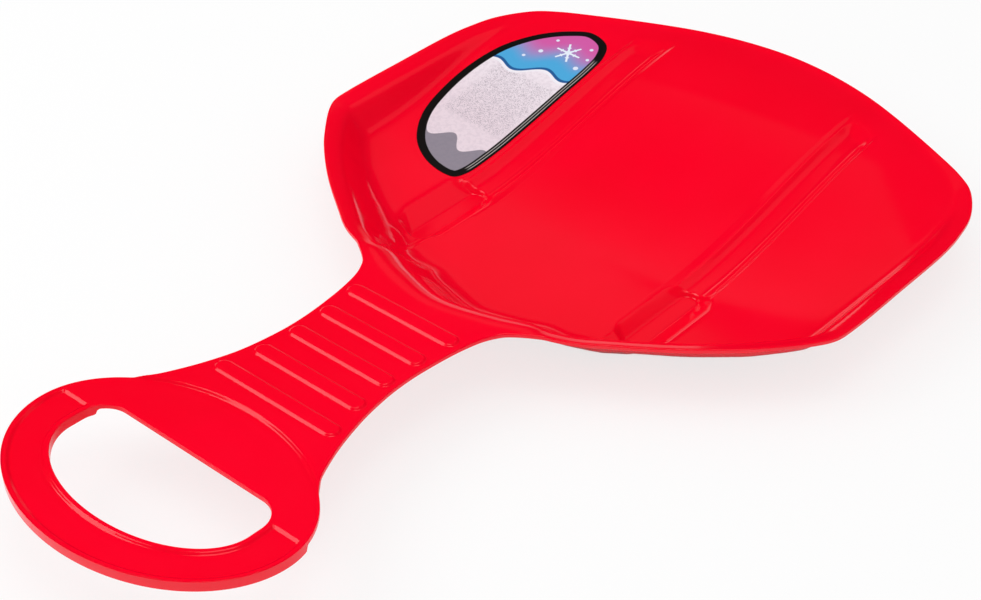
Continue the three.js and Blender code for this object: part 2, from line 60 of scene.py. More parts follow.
# Seat
PAN_WIDTH = 347.4
PAN_LENGTH = 327.2
PAN_DEPTH = 31
PAN_BACK_DEPTH = 1.4
RISE_INSET = 122
RISE_LENGTH = 180
DISH_SHARE = 0.54
FILLET_SHARE = 0.35
PAN_SHARES = [
    (0, 0), (0.196, 0.022), (0.317, 0.0465), (0.4416, 0.071), (0.5297, 0.1015), (0.679, 0.158),
    (0.806, 0.2165), (0.869, 0.2515), (0.9614, 0.3123), (0.99, 0.3414), (0.998, 0.38), (1, 0.511),
    (0.998, 0.645), (0.987, 0.6975), (0.959, 0.7586), (0.8866, 0.8227), (0.8175, 0.852),
    (0.7185, 0.8808), (0.475, 0.942), (0.3224, 0.9725), (0.161, 0.9927), (0, 1),
]

# Rim band and wall of the seat
BAND_NECK = 10
BAND_FLANK = 9
BAND_SIDE = 12
BAND_BACK = 6
RIM_SLOPE = 0.33
RIM_SLOPE_NECK = 0.02
CREST = 1.5
CREST_NECK = 9
NECK_END_SHARE = 0.74
FLANK_START_SHARE = 0.9
WALL_SLOPE_SIDE = 1.7
WALL_SLOPE_FRONT = 1.05
TURN_START_SHARE = 0.55
TURN_END_SHARE = 0.9

# Runner channels, the ledges beside them and the shoe pockets
RUNNER_SPACING = 149
RUNNER_WIDTH = 22
RUNNER_FLOOR = 10
RUNNER_DEPTH = 3.5
RUNNER_FRONT = 57.5
RUNNER_BACK = 38
NOSE = 9
TAIL = 10
NOSE_SKEW = 0.6
TAIL_SKEW = -0.5
LEDGE_DEPTH = 0.8
LEDGE_INNER = 5.2
LEDGE_OUTER = 1.9
LEDGE_FRONT = 110
LEDGE_BACK = 35
LEDGE_NOSE = 8
LEDGE_TAIL_SHARE = 0.4
SHOE_DEPTH = 2.5
SHOE_LENGTH = 55.7
SHOE_FRONT = 73
SHOE_END_SPREAD = 0.6

# Neck and its ribs
WAIST = 72.4
WAIST_OFFSET = 183
FOOT_WIDTH = 132
FOOT_LENGTH = 93
ROOT_WIDTH = 140
ROOT_LENGTH = 72
RIBS = 5
RIB_PITCH = 21.4
RIB_WIDTH = 10
RIB_HEIGHT = 1.15
RIB_RUN = 1.2
RIB_MARGIN = 2.4
RIB_WALL = 2.2
RIB_FIRST = 15
FOOT_SHARES = [
    (0, 0), (0.024, 0.161), (0.131, 0.376), (0.329, 0.591), (0.55, 0.763), (0.7, 0.849),
    (0.93, 0.935), (1.15, 1),
]
ROOT_SHARES = [
    (0, 0), (0.02, 0.19), (0.07, 0.4), (0.13, 0.55), (0.19, 0.65), (0.26, 0.72), (0.35, 0.785),
    (0.5, 0.845), (0.75, 0.925), (1, 1),
]

# Grip, hand hole, sunk pad and flange
GRIP_WIDTH = 165
GRIP_FRONT = 61.2
GRIP_BACK = 56
GRIP_STEP = 1.5
STEP_RUN = 1.5
GRIP_RISE_SLOPE = 0.042
GRIP_RISE_START = 143
HOLE_WIDTH = 119.6
HOLE_INSET = 58.5
HOLE_FRONT = 35.9
HOLE_BACK = 21
HOLE_CORNER = 14
PAD_BORDER = 2.3
PAD_RUN = 1.5
PAD_DEPTH = 1.2
PAD_END = 71
FLANGE_DEPTH = 5.5
FLANGE_RUN = 0.5
FLANGE_END = 73

# Sticker: its outline, and the heights of its two faces over the seat
LABEL_SIDE = 22.9
LABEL_LENGTH = 150
LABEL_GAP = 0.4
LABEL_FRONT = 123.5
LABEL_TOP = 0.3
LABEL_LOW = 0.08
LABEL_EDGE = 0.12
LABEL_EDGE_DROP = 0.1
LABEL_SHARES = [
    (0.015, 0.06), (0.06, 0.012), (0.14, 0), (0.31, 0.002), (0.5, 0.03), (0.69, 0.09),
    (0.88, 0.215), (0.98, 0.39), (1, 0.57), (0.95, 0.715), (0.85, 0.815), (0.72, 0.895),
    (0.56, 0.957), (0.37, 1), (0.13, 0.97), (0.03, 0.9), (0, 0.81), (0, 0.6), (0, 0.4), (0, 0.2),
]

# Radii of the sheet's edges
EDGE_ROUND = 0.8
HOLE_EDGE_ROUND = 0.6
UNDER_EDGE_ROUND = 0.5

# Spreads and half widths over which lines, the seat and small forms are softened
OUTLINE_SOFT = 1.2
SEAT_SOFT = 2.0
SLOPE_SOFT = 1
CHANNEL_TOP_SOFT = 0.5
CHANNEL_FOOT_SOFT = 2.4
CHANNEL_END_SOFT = 1.6
LEDGE_SOFT = 0.3
LEDGE_END_SOFT = 1.2
LEDGE_JOIN_SOFT = 0.12
POCKET_FOOT_SOFT = 0.7
POCKET_TOP_SOFT = 1.0
RIB_SOFT = 0.4
STEP_SOFT = 0.4
PAD_SOFT = 0.45
RISE_SOFT = 5

# The same for the under face, where some runs are shorter too
UNDER_CHANNEL_TOP_SOFT = 1.2
UNDER_CHANNEL_FOOT_SOFT = 0.6
UNDER_LEDGE_SOFT = 0.4
UNDER_POCKET_SOFT = 0.4
UNDER_RIB_RUN = 0.6
UNDER_RIB_SOFT = 0.25
UNDER_STEP_RUN = 0.7
UNDER_STEP_SOFT = 0.3
UNDER_PAD_RUN = 1.2
UNDER_PAD_SIDE_RUN = 1
UNDER_PAD_SOFT = 0.4
FLANGE_SOFT = 0.2

# Places that follow from the sizes
BACK_Y = SLED_LENGTH / 2
FRONT_Y = BACK_Y - PAN_LENGTH
HALF_WIDTH = PAN_WIDTH / 2
GRIP_Y = GRIP_FRONT - BACK_Y
HOLE_Y = HOLE_INSET - BACK_Y
WAIST_Y = WAIST_OFFSET - BACK_Y
RUNNER_X = RUNNER_SPACING / 2
SHOE_Y = FRONT_Y + SHOE_FRONT + SHOE_LENGTH / 2
CHANNEL_RUN = (RUNNER_WIDTH - RUNNER_FLOOR) / 2
CHANNEL_SLOPE = RUNNER_DEPTH / CHANNEL_RUN
CHANNEL_SHIFT = SHEET * math.tan(math.atan(CHANNEL_SLOPE) / 2)
LEDGE_SHIFT = SHEET * math.tan(math.atan(LEDGE_DEPTH / LEDGE_OUTER) / 2)


# Small number tools
def lerp(a, b, t):
    return a + (b - a) * t


def smoothstep(v, a, b):
    t = np.clip((v - a) / (b - a), 0, 1)
    return t * t * (3 - 2 * t)


def soft(t, w):
    """max(t, 0) with the corner rounded over a half width w."""
    return np.where(t < -w, 0, np.where(t > w, t, (t + w) ** 2 / (4 * w)))


def soft_min(a, b, w):
    return a - soft(a - b, w)


def bank(d, run, w):
    """From 0 to 1 over a run, with rounded corners."""
    return (soft(d, w) - soft(d - run, w)) / run


def rounding(d, r):
    """Drop of a rounded edge at a distance in from it."""
    t = np.clip(1 - d / r, 0, 1)
    return r * (1 - np.sqrt(np.maximum(1 - t ** 2, 0)))


def bell(reach, spread):
    """Weights of a bell curve that add up to 1."""
    weights = np.exp(-0.5 * (np.arange(-reach, reach + 1) / spread) ** 2)
    return weights / weights.sum()


# Lines of the plan
LINE_GAP = 0.25
CORNER_REACH = 0.3
PAN_STEPS = 60
NECK_STEPS = 40
GRIP_STEPS = 400
HOLE_STEPS = 300
CORNER_STEPS = 30
LABEL_STEPS = 40
BELL_SPREADS = 4


def curve_through(points, steps, closed=True, centripetal=True):
    """A smooth curve through points, with a number of steps from each to the next."""
    points = np.asarray(points, float)
    count = len(points)
    t = np.linspace(0, 1, steps, endpoint=False)[:, None]
    out = []
    for i in range(count if closed else count - 1):
        if closed:
            p0, p1, p2, p3 = (points[(i + k) % count] for k in (-1, 0, 1, 2))
        else:
            p0, p1, p2, p3 = (points[min(max(i + k, 0), count - 1)] for k in (-1, 0, 1, 2))
        if centripetal:
            pairs = ((p0, p1), (p1, p2), (p2, p3))
            d0, d1, d2 = (max(np.linalg.norm(b - a) ** 0.5, 1e-4) for a, b in pairs)
            t1 = ((p1 - p0) / d0 - (p2 - p0) / (d0 + d1) + (p2 - p1) / d1) * d1
            t2 = ((p2 - p1) / d1 - (p3 - p1) / (d1 + d2) + (p3 - p2) / d2) * d1
        else:
            t1, t2 = (p2 - p0) / 2, (p3 - p1) / 2
        square = 3 * (p2 - p1) - 2 * t1 - t2
        cube = 2 * (p1 - p2) + t1 + t2
        out.append(p1 + t1 * t + square * t ** 2 + cube * t ** 3)
    if not closed:
        out.append(points[-1:])
    return np.concatenate(out)


def respace(points, gap, closed=True):
    """The same line with its points at even gaps."""
    points = np.asarray(points, float)
    if closed:
        points = np.vstack([points, points[:1]])
    lengths = np.linalg.norm(np.diff(points, axis=0), axis=1)
    along = np.concatenate([[0], np.cumsum(lengths)])
    count = max(int(round(along[-1] / gap)), 3)
    at = np.linspace(0, along[-1], count + 1)
    if closed:
        at = at[:-1]
    return np.stack([np.interp(at, along, points[:, k]) for k in (0, 1)], 1)


def round_off(points, spread, gap):
    """A closed line with its corners softened over a spread."""
    reach = int(BELL_SPREADS * spread / gap)
    weights = bell(reach, spread / gap)
    longer = np.vstack([points[-reach:], points, points[:reach]])
    return np.stack([np.convolve(longer[:, k], weights, "valid") for k in (0, 1)], 1)


def ellipse(y, half_width, half_length, start, end, steps):
    a = np.linspace(start, end, steps)
    return np.stack([half_width * np.cos(a), y + half_length * np.sin(a)], 1)


class Line:
    """A closed line that runs anticlockwise, with the signed distance to its inside."""

    def __init__(self, points):
        self.points = respace(points, LINE_GAP)
        ahead = np.roll(self.points, -1, 0) - np.roll(self.points, 1, 0)
        ahead /= np.linalg.norm(ahead, axis=1)[:, None]
        self.inward = np.stack([-ahead[:, 1], ahead[:, 0]], 1)
        self.tree = kdtree.KDTree(len(self.points))
        for i, (x, y) in enumerate(self.points):
            self.tree.insert((x, y, 0), i)
        self.tree.balance()

    def nearest(self, x, y):
        """Distances inside the line, and the numbers of its nearest points."""
        found = [self.tree.find((a, b, 0)) for a, b in zip(x.tolist(), y.tolist())]
        index = np.array([f[1] for f in found])
        away = np.array([f[2] for f in found])
        offset = np.stack([x, y], 1) - self.points[index]
        square = (offset * self.inward[index]).sum(1)
        along = np.sqrt(np.maximum(away ** 2 - square ** 2, 0))
        return np.where(along > CORNER_REACH, np.sign(square) * away, square), index

    def inside(self, x, y):
        return self.nearest(x, y)[0]

    def offset(self, inset, gap):
        """Points beside the line at a distance inside it."""
        step = int(round(gap / LINE_GAP))
        return self.points[::step] + self.inward[::step] * inset


def pan_outline():
    right = [(x * HALF_WIDTH, FRONT_Y + y * PAN_LENGTH) for x, y in PAN_SHARES]
    left = [(-x, y) for x, y in right[1:-1][::-1]]
    return Line(curve_through(right + left, PAN_STEPS))


def neck_outline():
    """The neck's right side, from inside the grip to inside the pan."""
    half = WAIST / 2
    foot_reach = FOOT_WIDTH / 2 - half
    root_reach = ROOT_WIDTH / 2 - half
    foot = [(half + f * foot_reach, WAIST_Y - w * FOOT_LENGTH) for f, w in FOOT_SHARES]
    root = [(half + f * root_reach, WAIST_Y + w * ROOT_LENGTH) for f, w in ROOT_SHARES]
    curve = curve_through(foot[::-1] + root[1:], NECK_STEPS, closed=False, centripetal=False)
    return respace(curve, LINE_GAP, closed=False)


def grip_outline():
    return Line(np.vstack([
        ellipse(GRIP_Y, GRIP_WIDTH / 2, GRIP_BACK, 0, math.pi, GRIP_STEPS)[:-1],
        ellipse(GRIP_Y, GRIP_WIDTH / 2, GRIP_FRONT, math.pi, 2 * math.pi, GRIP_STEPS)[:-1],
    ]))


def hole_outline():
    """A straight back with two round corners, and half an ellipse in front."""
    shift = [HOLE_WIDTH / 2 - HOLE_CORNER, 0]
    y = HOLE_Y + HOLE_BACK - HOLE_CORNER
    right = ellipse(y, HOLE_CORNER, HOLE_CORNER, 0, math.pi / 2, CORNER_STEPS) + shift
    left = ellipse(y, HOLE_CORNER, HOLE_CORNER, math.pi / 2, math.pi, CORNER_STEPS) - shift
    front = ellipse(HOLE_Y, HOLE_WIDTH / 2, HOLE_FRONT, math.pi, 2 * math.pi, HOLE_STEPS)
    return Line(np.vstack([right, left, front]))


pan_line = pan_outline()
neck_side = neck_outline()
grip_line = grip_outline()
hole_line = hole_outline()


def stretch(line, start, stop):
    """The points of a closed line from the one nearest to start to the one nearest to stop."""
    first, last = (np.argmin(np.linalg.norm(line.points - p, axis=1)) for p in (start, stop))
    return np.roll(line.points, -first, 0)[: (last - first) % len(line.points) + 1]


def joined_outline():
    """Round the pan from the neck's right side, then along the neck and round the grip."""
    in_pan = pan_line.inside(neck_side[:, 0], neck_side[:, 1])
    in_grip = grip_line.inside(neck_side[:, 0], neck_side[:, 1])
    free = neck_side[(in_pan < 0) & (in_grip < 0)]
    mirror = [-1, 1]
    pan = stretch(pan_line, free[-1], free[-1] * mirror)
    grip = stretch(grip_line, free[0] * mirror, free[0])
    joined = np.vstack([pan, (free * mirror)[::-1], grip, free])
    return Line(round_off(respace(joined, LINE_GAP), OUTLINE_SOFT, LINE_GAP))


outline = joined_outline()


# Seat surface on a grid of 1 mm, softened as moulded plastic is
def floor_depth(x, y):
    start = FRONT_Y + RISE_INSET
    middle = lerp(PAN_DEPTH, PAN_BACK_DEPTH, smoothstep(y, start, start + RISE_LENGTH))
    return middle * (1 - DISH_SHARE * (x / HALF_WIDTH) ** 2)


def rim_band(x, inward_y):
    """Width, slope and crest rounding of the rim band: near the neck it is level and soft."""
    half_root = ROOT_WIDTH / 2
    away = smoothstep(np.abs(x), half_root * NECK_END_SHARE, half_root * FLANK_START_SHARE)
    flank = lerp(BAND_SIDE, BAND_FLANK, np.maximum(inward_y, 0))
    back = lerp(BAND_SIDE, BAND_BACK, -inward_y)
    behind = inward_y < 0
    width = np.where(behind, back, lerp(BAND_NECK, flank, away))
    slope = np.where(behind, RIM_SLOPE, lerp(RIM_SLOPE_NECK, RIM_SLOPE, away))
    crest = np.where(behind, CREST, lerp(CREST_NECK, CREST, away))
    return width, slope, crest


def seat_height(x, y):
    """Rim band, crest and wall down to the floor, with a fillet at the wall's foot."""
    inset, index = pan_line.nearest(x, y)
    inset = np.maximum(inset, 0)
    inward_y = pan_line.inward[index, 1]
    band, slope, crest = rim_band(pan_line.points[index, 0], inward_y)
    facing_front = smoothstep(inward_y, TURN_START_SHARE, TURN_END_SHARE)
    steep = lerp(WALL_SLOPE_SIDE, WALL_SLOPE_FRONT, facing_front)
    wall = slope * inset + (steep - slope) * soft(inset - band, crest)
    floor = floor_depth(x, y)
    blend = FILLET_SHARE * floor
    overlap = np.maximum(blend - np.abs(wall - floor), 0) / blend
    return -(np.minimum(wall, floor) - overlap ** 2 * blend / 4)


GRID_MARGIN = 12
GRID_X = -math.ceil(HALF_WIDTH + GRID_MARGIN)
GRID_Y = math.floor(FRONT_Y - GRID_MARGIN)


def blur(grid, spread):
    reach = int(BELL_SPREADS * spread) + 1
    weights = bell(reach, spread)
    for axis in (0, 1):
        pads = [(reach, reach) if a == axis else (0, 0) for a in (0, 1)]
        padded = np.pad(grid, pads, "edge")
        grid = np.apply_along_axis(np.convolve, axis, padded, weights, "valid")
    return grid


def seat_grids():
    """Heights of the seat's upper face, and of its under face a sheet's thickness away."""
    grid_x = np.arange(GRID_X, 1 - GRID_X, 1.0)
    grid_y = np.arange(GRID_Y, BACK_Y + GRID_MARGIN, 1.0)
    x, y = np.meshgrid(grid_x, grid_y)
    upper = blur(seat_height(x.ravel(), y.ravel()).reshape(x.shape), SEAT_SOFT)
    slope_y, slope_x = (blur(slope, SLOPE_SOFT) for slope in np.gradient(upper))
    return upper, upper - SHEET * np.sqrt(1 + slope_x ** 2 + slope_y ** 2)


seat_grid, under_grid = seat_grids()


def cubic_weights(t):
    return (
        -0.5 * t + t ** 2 - 0.5 * t ** 3,
        1 - 2.5 * t ** 2 + 1.5 * t ** 3,
        0.5 * t + 2 * t ** 2 - 1.5 * t ** 3,
        -0.5 * t ** 2 + 0.5 * t ** 3,
    )


def sample(grid, x, y):
    """Smooth (cubic) reading of a grid, held at its border for places outside it."""
    last = 3.001
    u = np.clip(x - GRID_X, 1, grid.shape[1] - last)
    v = np.clip(y - GRID_Y, 1, grid.shape[0] - last)
    i, j = u.astype(int), v.astype(int)
    wu, wv = cubic_weights(u - i), cubic_weights(v - j)
    total = 0
    for b in range(4):
        total = total + wv[b] * sum(wu[a] * grid[j + b - 1, i + a - 1] for a in range(4))
    return total


# Channels, the ledges beside them and the shoe pockets at their front
POCKET_TOP_Z = -float(floor_depth(RUNNER_X, FRONT_Y + SHOE_FRONT)) - RUNNER_DEPTH
POCKET_Z = POCKET_TOP_Z - SHOE_DEPTH
RIM_HEIGHT = SHEET - POCKET_Z


def trough_share(y, across, front, back, nose, end_soft):
    """Share of a trough's depth between its slanting nose and tail."""
    nose_y = front + NOSE_SKEW * across
    tail_y = back + TAIL_SKEW * across
    return bank(y - nose_y, nose, end_soft) * bank(tail_y - y, TAIL, end_soft)


def channel_cut(x, y, grow, top_soft, foot_soft):
    across = np.abs(x) - RUNNER_X
    inside = RUNNER_WIDTH / 2 + grow - np.abs(across)
    sides = soft(inside, top_soft) - soft(inside - CHANNEL_RUN, foot_soft)
    front = FRONT_Y + RUNNER_FRONT - grow
    back = BACK_Y - RUNNER_BACK + grow
    return CHANNEL_SLOPE * sides * trough_share(y, across, front, back, NOSE, CHANNEL_END_SOFT)


def ledge_cut(x, y, grow, edge_soft):
    across = np.abs(x) - RUNNER_X
    front, back = FRONT_Y + LEDGE_FRONT, BACK_Y - LEDGE_BACK
    narrow = lerp(1, LEDGE_TAIL_SHARE, np.clip((y - front) / (back - front), 0, 1))
    run = narrow * np.where(across > 0, LEDGE_OUTER, LEDGE_INNER)
    inside = RUNNER_WIDTH / 2 + run + grow - np.abs(across)
    sides = bank(inside, run, edge_soft)
    ends = trough_share(y, across, front - grow, back + grow, LEDGE_NOSE, LEDGE_END_SOFT)
    return LEDGE_DEPTH * sides * ends


def shoe_level(x, y, grow):
    """Height above the shoe pocket's floor at which its sloping sides pass a place."""
    spread = CHANNEL_RUN / RUNNER_DEPTH
    half_width = RUNNER_FLOOR / 2 + grow
    along = np.abs(y - SHOE_Y) - (SHOE_LENGTH / 2 + grow - half_width)
    across = np.abs(x) - RUNNER_X
    side = (np.abs(across) - half_width) / spread
    a = spread ** 2 - (spread - SHOE_END_SPREAD) ** 2
    b = half_width * spread - along * (spread - SHOE_END_SPREAD)
    c = half_width ** 2 - along ** 2 - across ** 2
    end = (-b + np.sqrt(np.maximum(b * b - a * c, 0))) / a
    return np.where(along + (spread - SHOE_END_SPREAD) * side > 0, end, side)


# Ribs, the slow rise of the grip and the sunk pad in it
def slot_inside(x, y, cy, half_width, half_length):
    """Distance inside a round-ended slot that lies across the sled."""
    past = np.maximum(np.abs(x) - (half_length - half_width), 0)
    return half_width - np.hypot(past, y - cy)


def rib_rows():
    """Place along the sled and half length of each rib."""
    for number in range(RIBS):
        y = FRONT_Y - RIB_FIRST - number * RIB_PITCH
        ends = (y - RIB_WIDTH / 2, y + RIB_WIDTH / 2)
        reach = min(np.interp(end, neck_side[:, 1], neck_side[:, 0]) for end in ends)
        yield y, reach - RIB_MARGIN


def rise(y):
    return GRIP_RISE_SLOPE * soft(GRIP_RISE_START - BACK_Y - y, RISE_SOFT)


def pad_share(y, edge, hole):
    return (
        bank(edge - PAD_BORDER, PAD_RUN, PAD_SOFT)
        * bank(-hole - PAD_BORDER, PAD_RUN, PAD_SOFT)
        * bank(PAD_END - BACK_Y - y, PAD_RUN, PAD_SOFT)
    )


# The two faces of the sheet, from the distances inside the outline, the hole and the grip
def top_height(x, y, edge, hole, grip):
    channel = channel_cut(x, y, 0, CHANNEL_TOP_SOFT, CHANNEL_FOOT_SOFT)
    cut = channel + soft(ledge_cut(x, y, 0, LEDGE_SOFT) - channel, LEDGE_JOIN_SOFT)
    pocket = POCKET_Z + soft(shoe_level(x, y, 0), POCKET_FOOT_SOFT)
    z = soft_min(sample(seat_grid, x, y) - cut, pocket, POCKET_TOP_SOFT)
    for rib_y, half in rib_rows():
        z = z + RIB_HEIGHT * bank(slot_inside(x, y, rib_y, RIB_WIDTH / 2, half), RIB_RUN, RIB_SOFT)
    z = z - GRIP_STEP * bank(grip + STEP_RUN / 2, STEP_RUN, STEP_SOFT)
    z = z - PAD_DEPTH * pad_share(y, edge, hole)
    z = z - rounding(edge, EDGE_ROUND) - rounding(-hole, HOLE_EDGE_ROUND)
    return z + rise(y)


def under_height(x, y, edge, hole, grip):
    channel = channel_cut(x, y, CHANNEL_SHIFT, UNDER_CHANNEL_TOP_SOFT, UNDER_CHANNEL_FOOT_SOFT)
    ledge = ledge_cut(x, y, LEDGE_SHIFT, UNDER_LEDGE_SOFT)
    cut = channel + soft(ledge - channel, LEDGE_JOIN_SOFT)
    pocket = POCKET_Z - SHEET + soft(shoe_level(x, y, CHANNEL_SHIFT), UNDER_POCKET_SOFT)
    z = soft_min(sample(under_grid, x, y) - cut, pocket, UNDER_POCKET_SOFT)
    for rib_y, half in rib_rows():
        inner = slot_inside(x, y, rib_y, RIB_WIDTH / 2 - RIB_WALL, half - RIB_WALL)
        z = z + RIB_HEIGHT * bank(inner + UNDER_RIB_RUN / 2, UNDER_RIB_RUN, UNDER_RIB_SOFT)
    z = z - GRIP_STEP * bank(grip + SHEET, UNDER_STEP_RUN, UNDER_STEP_SOFT)
    pad_end = bank(PAD_END - BACK_Y - y, UNDER_PAD_RUN, UNDER_PAD_SOFT)
    sunk = PAD_DEPTH * pad_end * bank(grip, UNDER_PAD_SIDE_RUN, UNDER_PAD_SOFT)
    near = np.minimum(edge, -hole)
    flange = bank(SHEET + FLANGE_RUN / 2 - near, FLANGE_RUN, FLANGE_SOFT)
    flange = flange * bank(FLANGE_END - BACK_Y - y, UNDER_PAD_RUN, UNDER_PAD_SOFT)
    z = z - sunk - (FLANGE_DEPTH - SHEET - sunk) * flange
    return z + rounding(near, UNDER_EDGE_ROUND) + rise(y)


SLOPE_STEP = 0.02


def surface(height, x, y):
    """Heights and slopes of a face at points of the plan."""
    def at(px, py):
        edge = np.maximum(outline.inside(px, py), 0)
        hole = np.minimum(hole_line.inside(px, py), 0)
        return height(px, py, edge, hole, grip_line.inside(px, py))

    dx = (at(x + SLOPE_STEP, y) - at(x - SLOPE_STEP, y)) / (2 * SLOPE_STEP)
    dy = (at(x, y + SLOPE_STEP) - at(x, y - SLOPE_STEP)) / (2 * SLOPE_STEP)
    return at(x, y), dx, dy


# Mesh points lie close together beside edges and small forms, and wider apart elsewhere.
# Rows of points follow a line. A row's number is its distance inside that line, and for a channel
# its distance from the middle, for a pocket its height over the pocket's floor, and for the pad's
# end its distance towards the grip.
EDGE_ROWS = [0.05, 0.16, 0.32, 0.54, 0.8, 1.2, 1.8, 2.2, 2.5, 2.8, 3.2, 3.6, 4.0, 4.5]
HOLE_ROWS = [0.05, 0.16, 0.34, 0.6, 0.95, 1.3, 1.8, 2.2, 2.5, 2.8, 3.2, 3.6, 4.0, 4.5]
GRIP_ROWS = [-3.2, -2.7, -2.4, -2.0, -0.8, -0.4, -0.15, 0.15, 0.4, 0.8, 1.6]
CHANNEL_ROWS = [2, 4, 5, 5.8, 6.6, 7.6, 8.6, 9.2, 9.6, 9.9, 10.3, 10.7, 11, 11.3, 11.6]
LEDGE_ROWS = [-0.7, -0.4, -0.2, 0, 0.2, 0.4, 0.8, 1.6]
POCKET_ROWS = [-0.7, -0.35, 0, 0.35, 0.7, 1.1, 1.6, 2.2, 2.8, 3.4, 4, 4.6, 5.2, 5.8]
RIB_ROWS = [-0.7, -0.3, 0, 0.3, 0.6, 0.9, 1.2, 1.5, 1.8, 2.2, 2.7]
PAD_END_ROWS = [-1.8, -1.2, -0.7, -0.2, 0.3, 0.8, 1.3, 1.9, 2.6]
EDGE_GAP = 1.25
HOLE_GAP = 1.0
RING_GAP = 1.1
CHANNEL_GAP = 2.0
CHANNEL_OVERRUN = 6
LEDGE_GAP = 1.8
LEDGE_OVERRUN = 4
CLOSEST = 0.13
WIDE_STEP = 2.6
WIDE_CLEARANCE = 1.4
WIDE_MARGIN = 1.0
EDGE_MARGIN = 0.04
PAD_END_REACH = 80


def slot_ring(centre, half_width, half_length, lengthways=False):
    straight = half_length - half_width
    a = np.linspace(-math.pi / 2, math.pi / 2, max(int(math.pi * half_width / RING_GAP), 8))
    cap = np.stack([straight + half_width * np.cos(a), half_width * np.sin(a)], 1)
    ring = respace(np.vstack([cap, -cap]), RING_GAP)
    return (ring[:, ::-1] if lengthways else ring) + centre


def row_along(x, y):
    return np.stack([np.broadcast_to(x, y.shape), y], 1)


def runner_rows(side):
    """Points of one channel, its pocket and its ledges."""
    for level in POCKET_ROWS:
        half_width = max(RUNNER_FLOOR / 2 + level * CHANNEL_RUN / RUNNER_DEPTH, 1)
        half_length = SHOE_LENGTH / 2 + level * SHOE_END_SPREAD
        yield slot_ring([side * RUNNER_X, SHOE_Y], half_width, half_length, lengthways=True)
    front = FRONT_Y + RUNNER_FRONT - CHANNEL_OVERRUN
    long_y = np.arange(front, BACK_Y - RUNNER_BACK + CHANNEL_OVERRUN, CHANNEL_GAP)
    clear_of_shoe = long_y[np.abs(long_y - SHOE_Y) >= SHOE_LENGTH / 2 + CHANNEL_OVERRUN]
    for a in CHANNEL_ROWS + [-v for v in CHANNEL_ROWS]:
        keep = clear_of_shoe if abs(a) < RUNNER_WIDTH / 2 else long_y
        yield row_along(side * (RUNNER_X + a), keep)
    front = FRONT_Y + LEDGE_FRONT - LEDGE_OVERRUN
    beside = np.arange(front, BACK_Y - LEDGE_BACK + LEDGE_OVERRUN, LEDGE_GAP)
    narrow = lerp(1, LEDGE_TAIL_SHARE, np.linspace(0, 1, len(beside)))
    for a in LEDGE_ROWS:
        for run in (LEDGE_OUTER * narrow, -LEDGE_INNER * narrow):
            reach = np.sign(run) * (RUNNER_WIDTH / 2 + np.abs(run) + a)
            yield row_along(side * (RUNNER_X + reach), beside)


def small_forms():
    """Points beside every edge and small form, the most important ones first."""
    for row in EDGE_ROWS:
        yield outline.offset(row, EDGE_GAP)
    for row in HOLE_ROWS:
        yield hole_line.offset(-row, HOLE_GAP)
    for row in GRIP_ROWS:
        yield grip_line.offset(row, RING_GAP)
    for side in (1, -1):
        yield from runner_rows(side)
    for rib_y, half in rib_rows():
        for row in RIB_ROWS:
            yield slot_ring([0, rib_y], RIB_WIDTH / 2 - row, half - row)
    x = np.arange(-PAD_END_REACH, PAD_END_REACH + 1, 1.0)
    for row in PAD_END_ROWS:
        yield np.stack([x, np.full(len(x), PAD_END - BACK_Y - row)], 1)


def thinned(points, gap):
    """Points at least a gap apart, the first ones kept."""
    kept, cells = [], {}
    for x, y in points.tolist():
        cx, cy = int(x // gap), int(y // gap)
        around = [(i, j) for i in (cx - 1, cx, cx + 1) for j in (cy - 1, cy, cy + 1)]
        near = (p for cell in around for p in cells.get(cell, ()))
        if all((px - x) ** 2 + (py - y) ** 2 >= gap * gap for px, py in near):
            kept.append((x, y))
            cells.setdefault((cx, cy), []).append((x, y))
    return np.array(kept)


def hexagons(step):
    rows = []
    for number, y in enumerate(np.arange(-BACK_Y, BACK_Y, step * math.sin(math.pi / 3))):
        x = np.arange(-HALF_WIDTH + (number % 2) * step / 2, HALF_WIDTH, step)
        rows.append(np.stack([x, np.full(len(x), y)], 1))
    return np.vstack(rows)


def inside_sled(points, margin):
    edge = outline.inside(points[:, 0], points[:, 1])
    hole = hole_line.inside(points[:, 0], points[:, 1])
    return (edge > margin) & (hole < -margin)


def away_from(points, others, gap):
    tree = kdtree.KDTree(len(others))
    for i, (x, y) in enumerate(others):
        tree.insert((x, y, 0), i)
    tree.balance()
    return np.array([p for p in points.tolist() if tree.find((p[0], p[1], 0))[2] > gap])


# Meshes: one flat net of triangles gives both faces of a sheet
MERGE = 1e-6


def triangulate(loops, fill, inside):
    """A flat net between closed loops and over the points that fill them."""
    edges = []
    start = 0
    for loop in loops:
        count = len(loop)
        edges += [(start + i, start + (i + 1) % count) for i in range(count)]
        start += count
    points = [Vector(p) for p in np.vstack(loops + fill).tolist()]
    found = delaunay_2d_cdt(points, edges, [], 0, MERGE, True)
    flat = np.array([tuple(v) for v in found[0]])
    faces = np.array([f for f in found[2] if len(f) == 3])
    faces = faces[inside(flat[faces].mean(1))]
    ab, ac = (flat[faces[:, k]] - flat[faces[:, 0]] for k in (1, 2))
    turn = ab[:, 0] * ac[:, 1] - ab[:, 1] * ac[:, 0]
    faces = np.where(turn[:, None] > 0, faces, faces[:, ::-1])
    used = np.unique(faces)
    renumber = -np.ones(len(flat), int)
    renumber[used] = np.arange(len(used))
    return flat[used], renumber[faces]


